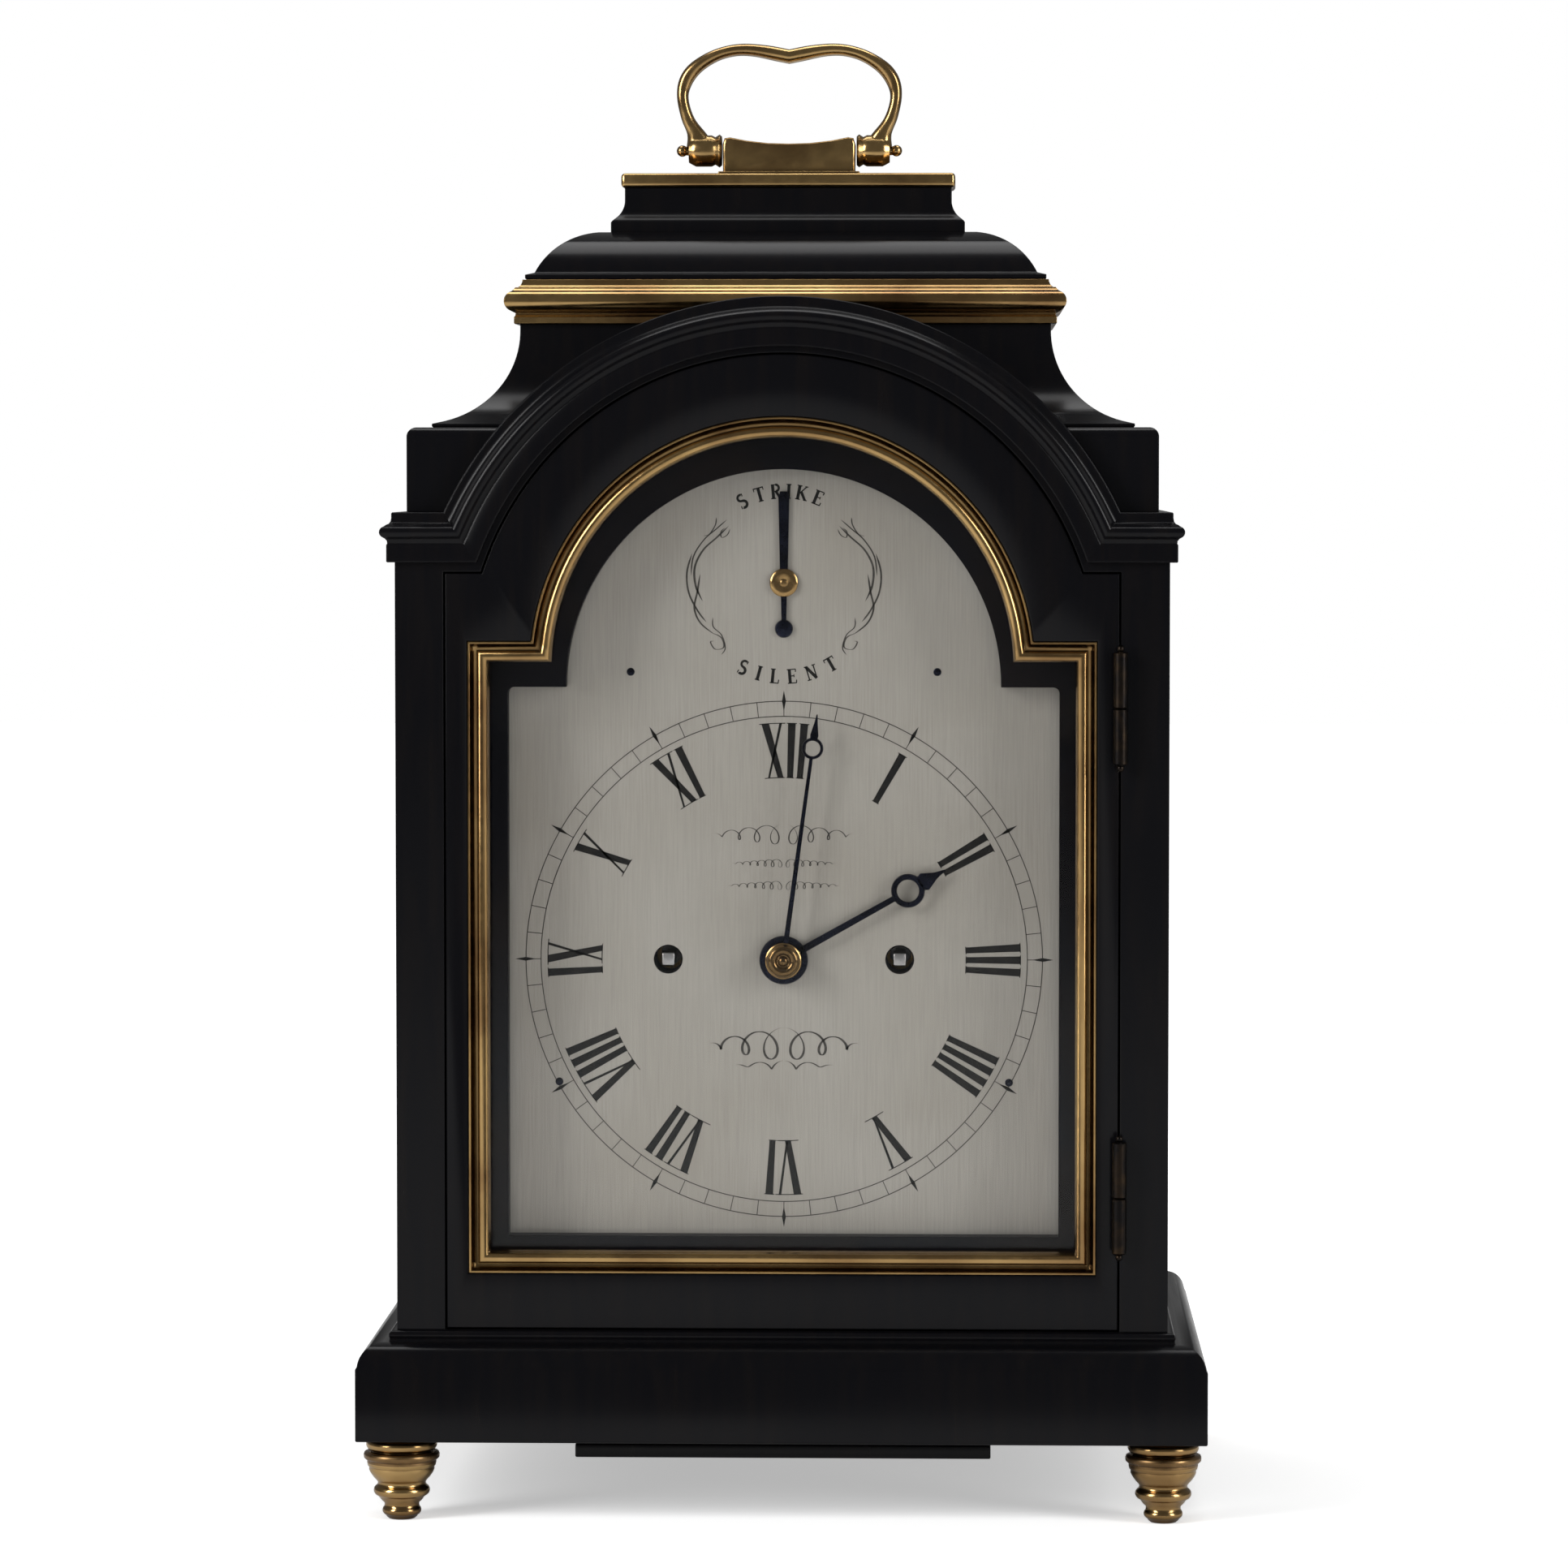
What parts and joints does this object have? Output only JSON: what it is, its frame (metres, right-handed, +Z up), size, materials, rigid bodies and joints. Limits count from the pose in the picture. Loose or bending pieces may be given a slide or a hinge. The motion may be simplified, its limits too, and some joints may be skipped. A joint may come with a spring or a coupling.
{
  "type": "bracket clock",
  "caption": "Table clock in a dark bell-top case with an arched door, silvered dial, brass mouldings, loop handle and turned feet; the doors, handle, hands, pendulum and trains move.",
  "frame": {"origin": "floor level under the middle of the base", "axes": "+Z up, front of the clock towards -Y, +X to the viewer's right"},
  "size_m": [0.273, 0.195, 0.4798],
  "materials": {
    "ebonised_wood": "ebonised and french polished, gloss",
    "lacquered_brass": "polished and lacquered",
    "wheel_brass": "fine grained",
    "pendulum_brass": "satin",
    "bell_metal": "turned, satin",
    "plain_steel": "satin",
    "blued_steel": "blued, polished",
    "silvered_dial": "silvered, fine circular grain, engraved and waxed black",
    "dark_mask": "satin black",
    "clear_glass": "clear, flat",
    "oak_board": "plain oak, oiled"
  },
  "bodies": {
    "case": {"base_moulding": "ebonised_wood", "base_board": "ebonised_wood", "under_board": "ebonised_wood", "feet": "lacquered_brass", "case_side_left": "ebonised_wood", "case_side_right": "ebonised_wood", "side_frets": "lacquered_brass", "front_frame": "ebonised_wood", "rear_top_rail": "ebonised_wood", "cornice_moulding": "ebonised_wood", "arch_moulding": "ebonised_wood", "top_board": "ebonised_wood", "bell_lower": "ebonised_wood", "bell_brass_moulding": "lacquered_brass", "bell_upper": "ebonised_wood", "bell_neck": "ebonised_wood", "top_plate": "lacquered_brass", "handle_mount": "lacquered_brass", "handle_pivot_screws": "lacquered_brass", "hinges_case": "lacquered_brass", "dial_mask": "dark_mask", "dial_plate": "silvered_dial", "front_plate": "lacquered_brass", "back_plate": "lacquered_brass", "plate_pillars": "lacquered_brass", "seat_board": "oak_board", "back_cock": "lacquered_brass", "bell": "bell_metal", "bell_stand": "plain_steel"},
    "front_door": {"front_door_frame": "ebonised_wood", "front_door_lock": "plain_steel", "front_door_bezel": "lacquered_brass", "front_door_glass": "clear_glass", "front_hinges_door": "lacquered_brass"},
    "rear_door": {"rear_door_frame": "ebonised_wood", "rear_door_glass": "clear_glass", "rear_hinges_door": "lacquered_brass"},
    "handle": {"handle_bail": "lacquered_brass"},
    "silence": {"silence_pointer": "blued_steel"},
    "minute": {"cannon_pinion": "wheel_brass", "minute_hand": "blued_steel", "hand_collet": "lacquered_brass"},
    "minute_work": {"minute_wheel": "wheel_brass"},
    "hour": {"hour_wheel": "wheel_brass", "hour_hand": "blued_steel"},
    "pendulum": {"pendulum": "pendulum_brass"},
    "anchor": {"pallets": "plain_steel"},
    "fusee_going": {"going_fusee": "plain_steel"},
    "barrel_going": {"going_barrel": "lacquered_brass"},
    "centre": {"centre_wheel": "wheel_brass"},
    "third": {"third_wheel": "wheel_brass"},
    "escape": {"escape_wheel": "wheel_brass"},
    "fusee_strike": {"strike_fusee": "plain_steel"},
    "barrel_strike": {"strike_barrel": "lacquered_brass"},
    "pin": {"pin_wheel": "wheel_brass"},
    "gathering": {"gathering_wheel": "wheel_brass"},
    "warning": {"warning_wheel": "wheel_brass"},
    "fly": {"fly": "plain_steel"},
    "hammer": {"hammer": "plain_steel"}
  },
  "joints": [
    {"name": "front_door_hinge", "type": "hinge", "parent": "case", "child": "front_door", "pos_m": [0.10825, -0.0882, 0.1835], "axis": [0, 0, 1], "range_deg": [0, 110]},
    {"name": "rear_door_hinge", "type": "hinge", "parent": "case", "child": "rear_door", "pos_m": [0.11175, 0.0882, 0.1835], "axis": [0, 0, -1], "range_deg": [0, 110]},
    {"name": "handle_pivot", "type": "hinge", "parent": "case", "child": "handle", "pos_m": [0, 0, 0.444], "axis": [1, 0, 0], "range_deg": [-90, 90]},
    {"name": "silence_turn", "type": "hinge", "parent": "case", "child": "silence", "pos_m": [0, -0.0611, 0.3016], "axis": [0, 1, 0], "range_deg": [0, 180]},
    {"name": "minute_turn", "type": "hinge", "parent": "case", "child": "minute", "pos_m": [0, 0, 0.1793], "axis": [0, 1, 0], "continuous": true},
    {"name": "minute_work_turn", "type": "hinge", "parent": "case", "child": "minute_work", "pos_m": [0, 0, 0.1625], "axis": [0, 1, 0], "continuous": true},
    {"name": "hour_turn", "type": "hinge", "parent": "case", "child": "hour", "pos_m": [0, 0, 0.1793], "axis": [0, 1, 0], "continuous": true},
    {"name": "pendulum_swing", "type": "hinge", "parent": "case", "child": "pendulum", "pos_m": [0, 0.045, 0.2645], "axis": [0, 1, 0], "range_deg": [-4, 4]},
    {"name": "anchor_swing", "type": "hinge", "parent": "case", "child": "anchor", "pos_m": [0, 0, 0.2645], "axis": [0, 1, 0], "range_deg": [-4, 4]},
    {"name": "fusee_going_turn", "type": "hinge", "parent": "case", "child": "fusee_going", "pos_m": [0.0376, 0, 0.1793], "axis": [0, 1, 0], "continuous": true},
    {"name": "barrel_going_turn", "type": "hinge", "parent": "case", "child": "barrel_going", "pos_m": [0.048, 0, 0.133], "axis": [0, 1, 0], "continuous": true},
    {"name": "centre_turn", "type": "hinge", "parent": "case", "child": "centre", "pos_m": [0, 0, 0.1793], "axis": [0, 1, 0], "continuous": true},
    {"name": "third_turn", "type": "hinge", "parent": "case", "child": "third", "pos_m": [0.01048, 0, 0.21075], "axis": [0, 1, 0], "continuous": true},
    {"name": "escape_turn", "type": "hinge", "parent": "case", "child": "escape", "pos_m": [0, 0, 0.2395], "axis": [0, 1, 0], "continuous": true},
    {"name": "fusee_strike_turn", "type": "hinge", "parent": "case", "child": "fusee_strike", "pos_m": [-0.0376, 0, 0.1793], "axis": [0, 1, 0], "continuous": true},
    {"name": "barrel_strike_turn", "type": "hinge", "parent": "case", "child": "barrel_strike", "pos_m": [-0.048, 0, 0.133], "axis": [0, 1, 0], "continuous": true},
    {"name": "pin_turn", "type": "hinge", "parent": "case", "child": "pin", "pos_m": [-0.044, 0, 0.21045], "axis": [0, 1, 0], "continuous": true},
    {"name": "gathering_turn", "type": "hinge", "parent": "case", "child": "gathering", "pos_m": [-0.036, 0, 0.2305], "axis": [0, 1, 0], "continuous": true},
    {"name": "warning_turn", "type": "hinge", "parent": "case", "child": "warning", "pos_m": [-0.0245, 0, 0.24555], "axis": [0, 1, 0], "continuous": true},
    {"name": "fly_turn", "type": "hinge", "parent": "case", "child": "fly", "pos_m": [-0.02, 0, 0.25925], "axis": [0, 1, 0], "continuous": true},
    {"name": "hammer_swing", "type": "hinge", "parent": "case", "child": "hammer", "pos_m": [-0.054, 0, 0.238], "axis": [0, 1, 0], "range_deg": [-6, 5]}
  ],
  "couplings": [
    {"joint": "minute_work_turn", "follows": "minute_turn", "ratio": -0.33333},
    {"joint": "hour_turn", "follows": "minute_turn", "ratio": 0.083333},
    {"joint": "anchor_swing", "follows": "pendulum_swing", "ratio": 1},
    {"joint": "centre_turn", "follows": "third_turn", "ratio": -0.15},
    {"joint": "fusee_going_turn", "follows": "third_turn", "ratio": 0.0225},
    {"joint": "barrel_going_turn", "follows": "third_turn", "ratio": 0.0135},
    {"joint": "escape_turn", "follows": "third_turn", "ratio": -6},
    {"joint": "fly_turn", "follows": "warning_turn", "ratio": -5},
    {"joint": "gathering_turn", "follows": "warning_turn", "ratio": -0.2},
    {"joint": "pin_turn", "follows": "warning_turn", "ratio": 0.03},
    {"joint": "fusee_strike_turn", "follows": "warning_turn", "ratio": -0.0045},
    {"joint": "barrel_strike_turn", "follows": "warning_turn", "ratio": -0.0027}
  ]
}
